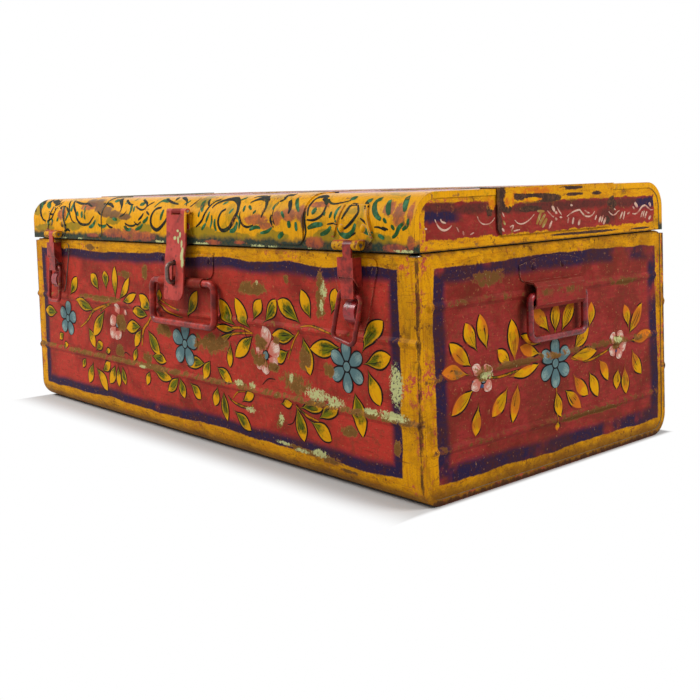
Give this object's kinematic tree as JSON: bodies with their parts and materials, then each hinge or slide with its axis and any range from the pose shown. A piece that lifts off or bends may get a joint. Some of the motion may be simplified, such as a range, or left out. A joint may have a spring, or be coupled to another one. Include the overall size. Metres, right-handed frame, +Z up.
{
  "type": "painted steel trunk",
  "caption": "Rectangular painted sheet-steel trunk with a rounded hinged lid, slotted hasp and staple, drop handles on the front and ends, and hinged side latches.",
  "frame": {"origin": "centre of the flat bottom face, on the floor", "axes": "+X along the front towards its right-hand end seen from the front, +Y towards the hinged back, +Z up"},
  "size_m": [0.7852, 0.4188, 0.2812],
  "materials": {
    "body_paint": "worn hand-painted enamel, red ground with flowers and a yellow border",
    "lid_paint": "worn hand-painted enamel, yellow and red",
    "fitting_paint": "worn enamel over steel",
    "worn_steel": "enamel worn through to bare steel",
    "hinge_paint": "thin brushed enamel",
    "inner_primer": "dull grey-brown primer",
    "bare_steel": "dull bare steel"
  },
  "bodies": {
    "trunk": {"body_wrap": "body_paint", "body_end_left": "body_paint", "body_end_right": "body_paint", "rim_wire": "bare_steel", "dust_lip_front": "inner_primer", "dust_lip_left": "inner_primer", "dust_lip_right": "inner_primer", "hinge_left_body_leaf": "hinge_paint", "hinge_right_body_leaf": "hinge_paint", "hinge_left_pin": "bare_steel", "hinge_right_pin": "bare_steel", "hinge_body_rivets": "bare_steel", "front_handle_plate": "fitting_paint", "front_handle_rivets": "bare_steel", "end_handle_plate_left": "fitting_paint", "end_handle_plate_right": "fitting_paint", "end_handle_rivets": "bare_steel", "latch_base_left": "fitting_paint", "latch_base_right": "fitting_paint", "latch_arch_left": "worn_steel", "latch_arch_right": "worn_steel", "latch_base_rivets": "bare_steel", "hasp_staple": "worn_steel"},
    "lid": {"lid_wrap": "lid_paint", "lid_end_left": "lid_paint", "lid_end_right": "lid_paint", "lid_end_plate_left": "lid_paint", "lid_end_plate_right": "lid_paint", "lid_front_plate_left": "lid_paint", "lid_front_plate_right": "lid_paint", "hinge_left_lid_leaf": "hinge_paint", "hinge_right_lid_leaf": "hinge_paint", "hinge_lid_rivets": "bare_steel", "hasp_leaf": "fitting_paint", "hasp_pin": "bare_steel", "hasp_leaf_rivets": "bare_steel", "lid_latch_plate_left": "fitting_paint", "lid_latch_plate_right": "fitting_paint", "latch_pin_left": "bare_steel", "latch_pin_right": "bare_steel", "lid_latch_rivets": "bare_steel"},
    "hasp": {"hasp_strap": "fitting_paint"},
    "front_bail": {"front_handle_bail": "fitting_paint"},
    "end_bail_left": {"end_handle_bail_left": "fitting_paint"},
    "end_bail_right": {"end_handle_bail_right": "fitting_paint"},
    "latch_arm_left": {"latch_arm_left": "fitting_paint"},
    "latch_arm_right": {"latch_arm_right": "fitting_paint"},
    "latch_ring_left": {"latch_ring_left": "worn_steel"},
    "latch_ring_right": {"latch_ring_right": "worn_steel"}
  },
  "joints": [
    {"name": "lid_hinge", "type": "hinge", "parent": "trunk", "child": "lid", "pos_m": [0, 0.1972, 0.2268], "axis": [-1, 0, 0], "range_deg": [0, 100]},
    {"name": "hasp_hinge", "type": "hinge", "parent": "lid", "child": "hasp", "pos_m": [0.008, -0.1979, 0.264], "axis": [-1, 0, 0], "range_deg": [0, 170]},
    {"name": "front_bail_pivot", "type": "hinge", "parent": "trunk", "child": "front_bail", "pos_m": [0.011, -0.19865, 0.1845], "axis": [-1, 0, 0], "range_deg": [0, 88]},
    {"name": "end_bail_left_pivot", "type": "hinge", "parent": "trunk", "child": "end_bail_left", "pos_m": [-0.3871, -0.006, 0.176], "axis": [0, 1, 0], "range_deg": [0, 90]},
    {"name": "end_bail_right_pivot", "type": "hinge", "parent": "trunk", "child": "end_bail_right", "pos_m": [0.3871, -0.006, 0.176], "axis": [0, -1, 0], "range_deg": [0, 90]},
    {"name": "latch_arm_left_pivot", "type": "hinge", "parent": "lid", "child": "latch_arm_left", "pos_m": [-0.308, -0.2015, 0.233], "axis": [-1, 0, 0], "range_deg": [0, 150]},
    {"name": "latch_ring_left_pivot", "type": "hinge", "parent": "latch_arm_left", "child": "latch_ring_left", "pos_m": [-0.308, -0.1996, 0.1885], "axis": [-1, 0, 0], "range_deg": [0, 90]},
    {"name": "latch_arm_right_pivot", "type": "hinge", "parent": "lid", "child": "latch_arm_right", "pos_m": [0.301, -0.2015, 0.233], "axis": [-1, 0, 0], "range_deg": [0, 150]},
    {"name": "latch_ring_right_pivot", "type": "hinge", "parent": "latch_arm_right", "child": "latch_ring_right", "pos_m": [0.301, -0.1996, 0.1885], "axis": [-0.9816, 0.0166, 0.1901], "range_deg": [0, 90]}
  ]
}
